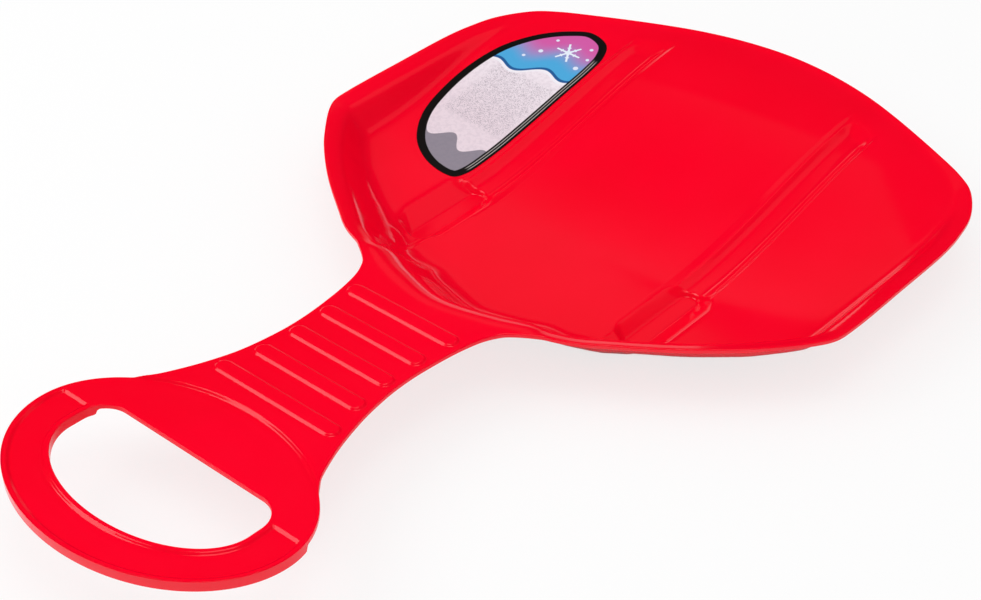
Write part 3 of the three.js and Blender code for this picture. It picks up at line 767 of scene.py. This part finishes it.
def sheet_faces(faces, count):
    """The net above, the same net turned over below and a wall at every free edge."""
    half_edges = np.vstack([faces[:, [0, 1]], faces[:, [1, 2]], faces[:, [2, 0]]])
    known = set(map(tuple, half_edges.tolist()))
    free = [(a, b) for a, b in known if (b, a) not in known]
    walls = []
    for p, q in free:
        walls += [(q, p, p + count), (q, p + count, q + count)]
    return np.vstack([faces, faces[:, ::-1] + count, np.array(walls)]), np.unique(np.array(free))


def unit(vectors):
    return vectors / np.linalg.norm(vectors, axis=1)[:, None]


def in_scene(vertices):
    """From millimetres over the rim plane to metres over the ground, inside the part's box."""
    metres = (vertices + [0, 0, RIM_HEIGHT]) / 1000
    return np.clip(metres, *(np.array(corner) for corner in box_before))


def smooth_mesh(name, vertices, triangles, normals):
    mesh = bpy.data.meshes.new(name)
    mesh.from_pydata(in_scene(vertices).tolist(), [], triangles.tolist())
    mesh.polygons.foreach_set("use_smooth", [True] * len(mesh.polygons))
    mesh.update()
    mesh.normals_split_custom_set_from_vertices(normals.tolist())
    return mesh


def new_object(name, data):
    made = bpy.data.objects.new(name, data)
    bpy.context.scene.collection.objects.link(made)
    return made


# The moulding
def moulding_net():
    forms = np.vstack(list(small_forms()))
    forms = thinned(forms[inside_sled(forms, EDGE_MARGIN)], CLOSEST)
    wide = hexagons(WIDE_STEP)
    wide = away_from(wide[inside_sled(wide, WIDE_MARGIN)], forms, WIDE_CLEARANCE)
    loops = [outline.offset(0, EDGE_GAP), hole_line.offset(0, HOLE_GAP)]
    return triangulate(loops, [forms, wide], lambda p: inside_sled(p, 0))


def moulding_mesh():
    flat, faces = moulding_net()
    x, y = flat[:, 0], flat[:, 1]
    count = len(flat)
    triangles, rim = sheet_faces(faces, count)
    top_z, top_dx, top_dy = surface(top_height, x, y)
    low_z, low_dx, low_dy = surface(under_height, x, y)

    # Along the rim both faces turn into the wall, so the light shows a rounded edge
    edge, edge_at = outline.nearest(x[rim], y[rim])
    hole, hole_at = hole_line.nearest(x[rim], y[rim])
    at_edge = (np.abs(edge) < np.abs(hole))[:, None]
    outward = np.where(at_edge, -outline.inward[edge_at], hole_line.inward[hole_at])
    top_normal = np.stack([-top_dx, -top_dy, np.ones(count)], 1)
    low_normal = np.stack([low_dx, low_dy, -np.ones(count)], 1)
    for normal in (top_normal, low_normal):
        normal[rim] = np.column_stack([outward, np.zeros(len(rim))])

    vertices = np.vstack([np.column_stack([x, y, top_z]), np.column_stack([x, y, low_z])])
    normals = unit(np.vstack([top_normal, low_normal]))
    return smooth_mesh("sled_moulding", vertices, triangles, normals)


sled_mesh = moulding_mesh()
sled = new_object("sled_moulding", sled_mesh)
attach(sled, "root")
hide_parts("sled_shell")


# The sticker on the seat floor
LABEL_X = -RUNNER_X - RUNNER_WIDTH / 2 - LEDGE_OUTER - LABEL_GAP
LABEL_Y = FRONT_Y + LABEL_FRONT
LABEL_WIDTH = HALF_WIDTH + LABEL_X - LABEL_SIDE
LABEL_RING_GAP = 1.5
LABEL_RING_INSET = 0.6
LABEL_FILL_STEP = 3.0
LABEL_FILL_MARGIN = 1.2
LABEL_SLOPE_STEP = 0.5


def label_outline():
    places = [(LABEL_X - u * LABEL_WIDTH, LABEL_Y + v * LABEL_LENGTH) for u, v in LABEL_SHARES]
    return Line(curve_through(places, LABEL_STEPS)[::-1])


def label_mesh_and_insets():
    """The sticker, bent to the seat, and every point's distance in from its cut edge."""
    line = label_outline()
    fill = hexagons(LABEL_FILL_STEP)
    fill = fill[line.inside(fill[:, 0], fill[:, 1]) > LABEL_FILL_MARGIN]
    loop, *rings = (line.offset(d, LABEL_RING_GAP) for d in (0, LABEL_EDGE, LABEL_RING_INSET))
    flat, faces = triangulate([loop], rings + [fill], lambda p: line.inside(p[:, 0], p[:, 1]) > 0)
    x, y = flat[:, 0], flat[:, 1]
    count = len(flat)
    step = LABEL_SLOPE_STEP
    z = sample(seat_grid, x, y)
    dx = (sample(seat_grid, x + step, y) - sample(seat_grid, x - step, y)) / (2 * step)
    dy = (sample(seat_grid, x, y + step) - sample(seat_grid, x, y - step)) / (2 * step)
    inset = line.inside(x, y)
    top = z + LABEL_TOP - LABEL_EDGE_DROP * np.clip(1 - inset / LABEL_EDGE, 0, 1)
    vertices = np.vstack([np.column_stack([x, y, top]), np.column_stack([x, y, z + LABEL_LOW])])
    up = unit(np.column_stack([-dx, -dy, np.ones(count)]))
    triangles, _ = sheet_faces(faces, count)
    mesh = smooth_mesh("printed_sticker", vertices, triangles, np.vstack([up, -up]))
    return mesh, np.tile(inset, 2)


label_mesh, label_insets = label_mesh_and_insets()
attribute = label_mesh.attributes.new("inset", "FLOAT", "POINT")
attribute.data.foreach_set("value", label_insets.astype(np.float32))
label = new_object("printed_sticker", label_mesh)
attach(label, "root")
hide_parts("label_sticker")


# Materials
class Nodes:
    """Short ways to build a node tree."""

    def __init__(self, tree):
        self.tree = tree
        tree.nodes.clear()

    def add(self, kind, **values):
        node = self.tree.nodes.new(kind)
        for key, value in values.items():
            if key in node.inputs:
                self.feed(node.inputs[key], value)
            else:
                setattr(node, key, value)
        return node

    def feed(self, socket, value):
        if isinstance(value, bpy.types.NodeSocket):
            self.tree.links.new(value, socket)
        else:
            socket.default_value = value

    def noise(self, place, scale, detail, roughness=0.5):
        node = self.add("ShaderNodeTexNoise", Vector=place, Scale=scale, Detail=detail)
        node.inputs["Roughness"].default_value = roughness
        return node.outputs["Fac"]

    def math(self, operation, *values):
        node = self.add("ShaderNodeMath", operation=operation)
        for socket, value in zip(node.inputs, values):
            self.feed(socket, value)
        return node.outputs[0]

    def both(self, a, b):
        return self.math("MULTIPLY", a, b)

    def mix(self, factor, a, b):
        node = self.add("ShaderNodeMix", data_type="RGBA")
        self.feed(node.inputs["Factor"], factor)
        colours = [s for s in node.inputs if s.type == "RGBA"]
        self.feed(colours[0], a)
        self.feed(colours[1], b)
        return [s for s in node.outputs if s.type == "RGBA"][0]

    def above(self, value, edge, width):
        """From 0 to 1 as a value passes an edge, over a width."""
        node = self.add("ShaderNodeMapRange", interpolation_type="SMOOTHSTEP")
        self.feed(node.inputs["Value"], value)
        node.inputs["From Min"].default_value = edge - width / 2
        node.inputs["From Max"].default_value = edge + width / 2
        return node.outputs[0]

    def below(self, value, edge, width):
        return self.math("SUBTRACT", 1, self.above(value, edge, width))

    def within(self, value, low, high, width):
        return self.both(self.above(value, low, width), self.below(value, high, width))

    def wave(self, value, length, height):
        """A sine wave with a length and a height, along a value."""
        turn = self.math("MULTIPLY", value, 2 * math.pi / length)
        return self.math("MULTIPLY", self.math("SINE", turn), height)

    def mix_shaders(self, factor, a, b):
        node = self.add("ShaderNodeMixShader")
        for socket, value in zip(node.inputs, (factor, a.outputs[0], b.outputs[0])):
            self.feed(socket, value)
        return node

    def finish(self, shader, kind="ShaderNodeOutputMaterial"):
        self.tree.links.new(shader.outputs[0], self.add(kind).inputs["Surface"])


def linear(r, g, b):
    """A colour written as it is seen, from 0 to 255."""
    shares = [v / 255 for v in (r, g, b)]
    return (*(v / 12.92 if v <= 0.04045 else ((v + 0.055) / 1.055) ** 2.4 for v in shares), 1)


def new_material(name):
    material = bpy.data.materials.new(name)
    material.use_nodes = True
    return material, Nodes(material.node_tree)


def red_plastic():
    """Moulded polyethylene: faint clouds in the colour, fine grain and slow waves in the gloss."""
    material, n = new_material("red_moulded_plastic")
    place = n.add("ShaderNodeTexCoord").outputs["Object"]
    cloud = n.noise(place, scale=9.0, detail=3.0, roughness=0.55)
    grain = n.noise(place, scale=620.0, detail=2.0, roughness=0.6)
    swell = n.noise(place, scale=48.0, detail=2.0)
    base = n.mix(n.above(cloud, 0.5, 0.35), linear(250, 0, 34), linear(254, 0, 38))
    rough = n.math("MULTIPLY_ADD", swell, 0.05, 0.07)
    fine = n.add("ShaderNodeBump", Height=grain, Strength=0.05, Distance=0.0002)
    wave = n.add("ShaderNodeBump", Height=swell, Strength=0.05, Distance=0.0004)
    n.feed(wave.inputs["Normal"], fine.outputs[0])
    shader = n.add("ShaderNodeBsdfPrincipled", Roughness=rough, Normal=wave.outputs[0], IOR=1.49)
    n.feed(shader.inputs["Base Color"], base)
    n.finish(shader)
    return material


# Sticker print, in millimetres across from the straight side and along from the neck end
BORDER = 5.0
BORDER_LINES = ((1.5, 2.0), (3.2, 3.7))
PATCH_ACROSS = (7, 50)
PATCH_ALONG = (44, 94)
PATCH_BLUR = 6
PAPER_TURN = 70
PAPER_TURN_LENGTH = 60
HILL_TOP = 26
HILL_WAVE = (23.3, 5)
FIELD_LEAN = 0.25
FIELD_WAVE = (31.4, 3.5)
FIELD_START = 105.6
FIELD_LINE = 107.8
FIELD_DARK_END = 110
FIELD_TURN = 128
FIELD_TURN_LENGTH = 26
CRYSTAL_PLACE = (22.0, 126.0)
CRYSTAL_RADIUS = 8.5
CRYSTAL_ARM = 1.9
CRYSTAL_RING = (4.3, 5.2)
SNOW_DOTS = (
    (9, 117, 1.6), (37, 118, 1.5), (35, 132, 1.1), (12, 136, 1.2), (43, 109, 1.1), (8, 127, 1.1),
)
SHARP = 0.5


class StickerPrint(Nodes):
    """The parts of the sticker's print, one over the other."""

    def __init__(self, tree):
        super().__init__(tree)
        self.coordinates = self.add("ShaderNodeTexCoord").outputs["Object"]
        place = self.add("ShaderNodeSeparateXYZ", Vector=self.coordinates)
        self.inset = self.add("ShaderNodeAttribute", attribute_name="inset").outputs["Fac"]
        self.across = self.math("MULTIPLY_ADD", place.outputs["X"], -1000, LABEL_X)
        self.along = self.math("MULTIPLY_ADD", place.outputs["Y"], 1000, -LABEL_Y)
        self.fibre = self.noise(self.coordinates, scale=420.0, detail=3.0, roughness=0.6)

    def from_point(self, u, v):
        """Offsets across and along from a point, and the distance to it."""
        across = self.math("SUBTRACT", self.across, u)
        along = self.math("SUBTRACT", self.along, v)
        squares = (self.math("POWER", side, 2) for side in (across, along))
        return across, along, self.math("SQRT", self.math("ADD", *squares))

    def panel(self):
        """Pale paper with a patch of fine grey specks in its middle."""
        turn = self.above(self.along, PAPER_TURN, PAPER_TURN_LENGTH)
        paper = self.mix(turn, linear(236, 219, 228), linear(243, 232, 240))
        threads = self.both(self.above(self.fibre, 0.52, 0.2), 0.3)
        paper = self.mix(threads, paper, linear(206, 190, 202))
        fleck = self.above(self.noise(self.coordinates, scale=1500.0, detail=1.0), 0.55, 0.12)
        patch = self.both(
            self.within(self.along, *PATCH_ALONG, PATCH_BLUR),
            self.within(self.across, *PATCH_ACROSS, PATCH_BLUR),
        )
        return self.mix(self.both(self.both(patch, 0.55), fleck), paper, linear(150, 138, 150))

    def hills(self, under):
        """Grey hills at the neck end."""
        top = self.math("ADD", self.wave(self.across, *HILL_WAVE), HILL_TOP)
        hill = self.below(self.math("SUBTRACT", self.along, top), 0, SHARP)
        return self.mix(self.both(hill, 0.8), under, linear(110, 106, 122))

    def field(self, under):
        """A coloured field at the back end, with a wavy dark edge and a pale line beside it."""
        lean = self.math("MULTIPLY", self.across, FIELD_LEAN)
        swing = self.math("ADD", self.wave(self.across, *FIELD_WAVE), lean)
        edge = self.math("ADD", self.along, swing)
        turn = self.above(edge, FIELD_TURN, FIELD_TURN_LENGTH)
        sky = self.mix(turn, linear(70, 170, 224), linear(214, 88, 168))
        field = self.mix(self.above(edge, FIELD_DARK_END, SHARP), linear(20, 92, 156), sky)
        field = self.mix(self.above(edge, FIELD_LINE, SHARP), linear(244, 240, 248), field)
        return self.mix(self.above(edge, FIELD_START, 1.2), under, field)

    def snow(self, under):
        """A six-armed snow crystal, and dots round it."""
        across, along, away = self.from_point(*CRYSTAL_PLACE)
        turn = self.math("ARCTAN2", along, across)
        swing = self.math("SINE", self.math("MULTIPLY", turn, 3))
        arm = self.below(self.both(away, self.math("ABSOLUTE", swing)), CRYSTAL_ARM, SHARP)
        arms = self.both(arm, self.below(away, CRYSTAL_RADIUS, SHARP))
        six = self.math("COSINE", self.math("MULTIPLY", turn, 6))
        ring = self.both(self.within(away, *CRYSTAL_RING, 0.4), self.above(six, 0, 0.6))
        colour = self.mix(self.math("MAXIMUM", arms, ring), under, linear(232, 240, 252))
        for u, v, size in SNOW_DOTS:
            dot = self.below(self.from_point(u, v)[2], size, 0.4)
            colour = self.mix(dot, colour, linear(226, 232, 250))
        return colour

    def border(self, under):
        """Black round the curved sides, with two pale lines along the straight side."""
        straight = self.below(self.math("SUBTRACT", self.across, self.inset), SHARP, SHARP)
        pair = (self.within(self.inset, *line, 0.25) for line in BORDER_LINES)
        lines = self.both(self.both(self.math("MAXIMUM", *pair), straight), 0.75)
        rim = self.mix(lines, linear(20, 18, 16), linear(206, 200, 196))
        return self.mix(self.above(self.inset, BORDER, 0.35), rim, under)


def sticker_print():
    material, _ = new_material("sticker_print")
    n = StickerPrint(material.node_tree)
    colour = n.border(n.snow(n.field(n.hills(n.panel()))))
    rough = n.math("MULTIPLY_ADD", n.fibre, 0.1, 0.3)
    shader = n.add("ShaderNodeBsdfPrincipled", Roughness=rough)
    n.feed(shader.inputs["Base Color"], colour)
    n.finish(shader)
    return material


sled_mesh.materials.append(red_plastic())
label_mesh.materials.append(sticker_print())


# Studio, in metres: a white floor that keeps the shadow, under an even white world
FLOOR_REACH = 6.0
FLOOR_DROP = 0.0006
FLOOR_WHITE_SHARE = 0.75
WORLD_FILL = 0.78
WHITE = (1, 1, 1, 1)


def floor_material():
    material, n = new_material("studio_floor")
    grain = n.noise(n.add("ShaderNodeTexCoord").outputs["Object"], scale=3.0, detail=3.0)
    tone = n.mix(grain, (0.9, 0.9, 0.9, 1), (0.93, 0.93, 0.93, 1))
    matt = n.add("ShaderNodeBsdfDiffuse", Color=tone)
    white = n.add("ShaderNodeEmission", Color=WHITE, Strength=1.0)
    seen = n.add("ShaderNodeLightPath").outputs["Is Camera Ray"]
    n.finish(n.mix_shaders(n.both(seen, FLOOR_WHITE_SHARE), matt, white))
    return material


def studio_floor():
    reach = FLOOR_REACH
    corners = [(-reach, -reach, 0), (reach, -reach, 0), (reach, reach, 0), (-reach, reach, 0)]
    mesh = bpy.data.meshes.new("studio_floor")
    mesh.from_pydata(corners, [], [(0, 1, 2, 3)])
    mesh.materials.append(floor_material())
    made = new_object("studio_floor", mesh)
    made.location.z = -FLOOR_DROP
    return made


def studio_world():
    """White to the camera, a plain fill light to matt surfaces and nothing in the gloss."""
    world = bpy.data.worlds.new("studio")
    world.use_nodes = True
    n = Nodes(world.node_tree)
    fill = n.add("ShaderNodeBackground", Color=WHITE, Strength=WORLD_FILL)
    white = n.add("ShaderNodeBackground", Color=WHITE, Strength=1.0)
    seen = n.add("ShaderNodeLightPath").outputs["Is Camera Ray"]
    n.finish(n.mix_shaders(seen, fill, white), "ShaderNodeOutputWorld")
    world.cycles_visibility.glossy = False
    return world


floor = studio_floor()
bpy.context.scene.world = studio_world()

# Camera at the photograph's angle, with its place over the rim plane and its focal length
AZIMUTH = math.radians(41.037)
ELEVATION = math.radians(36.5345)
CAMERA_PLACE = Vector((0.543067, -0.619511, 0.585008))
PHOTO_WIDTH_PIXELS = 981
FOCAL_PIXELS = 1971.42
SENSOR_WIDTH = 36
AHEAD = Vector((-math.sin(AZIMUTH), math.cos(AZIMUTH), 0))
LEFTWARD = Vector((-math.cos(AZIMUTH), -math.sin(AZIMUTH), 0))
UP = Vector((0, 0, 1))


def facing(direction):
    return direction.to_track_quat("-Z", "Y").to_euler()


camera_data = bpy.data.cameras.new("camera")
camera_data.sensor_width = SENSOR_WIDTH
camera_data.lens = SENSOR_WIDTH * FOCAL_PIXELS / PHOTO_WIDTH_PIXELS
camera = new_object("camera", camera_data)
camera.location = CAMERA_PLACE + UP * RIM_HEIGHT / 1000
camera.rotation_euler = facing(AHEAD * math.cos(ELEVATION) - UP * math.sin(ELEVATION))
bpy.context.scene.camera = camera
bpy.context.scene.view_settings.view_transform = "Standard"


def soft_box(name, place, target, size, radiance, spread=math.pi):
    """A flat lamp that the camera doesn't see, with its radiance straight ahead."""
    data = bpy.data.lights.new(name, "AREA")
    data.shape = "RECTANGLE"
    data.size, data.size_y = size
    data.energy = radiance * math.pi * size[0] * size[1]
    if spread < math.pi:
        data.spread = spread
        data.energy *= 1 - spread / 2 / math.tan(spread / 2)
    lamp = new_object(name, data)
    lamp.location = place
    lamp.rotation_euler = facing(Vector(target) - Vector(place))
    lamp.visible_camera = False
    return lamp


# Three soft boxes light the sled from the left, from above and faintly from the back
MIDDLE = (0, 0, 0)
soft_box("left_box", (-0.95, -0.78, 1.2), MIDDLE, size=(1.0, 1.0), radiance=2.2)
soft_box("top_box", (0.25, -0.15, 1.6), MIDDLE, size=(0.8, 0.8), radiance=1.6)
soft_box("back_box", (0.15, 0.75, 1.0), MIDDLE, size=(0.5, 0.5), radiance=0.17)

# Beyond the sled, seen from the camera, hang a small pale card, whose mirror image lies on the
# front of the seat only, and low down a bright strip, for edges that turn away from the camera
SEAT_MIDDLE = Vector((0, 0.115, 0))
CARD_SIZE = (0.29, 0.11)
CARD_SPREAD = math.radians(38)
CARD_TURN = math.radians(-17)
STRIP_SIZE = (0.28, 0.11)
STRIP_SPREAD = math.radians(50)
STRIP_DIRECTION = Vector((0.743, -0.669, 0))


def beyond(away, left, height):
    return SEAT_MIDDLE + AHEAD * away + LEFTWARD * left + UP * height


card_place = beyond(0.25, -0.01, 0.27)
card_aim = beyond(-0.1, 0.01, 0.02)
card = soft_box("pale_card", card_place, card_aim, CARD_SIZE, 0.15, CARD_SPREAD)
card.rotation_euler.rotate_axis("Z", CARD_TURN)
strip_place = beyond(0.38, 0.05, 0.075)
strip_aim = strip_place + STRIP_DIRECTION
soft_box("low_strip", strip_place, strip_aim, STRIP_SIZE, 0.85, STRIP_SPREAD)
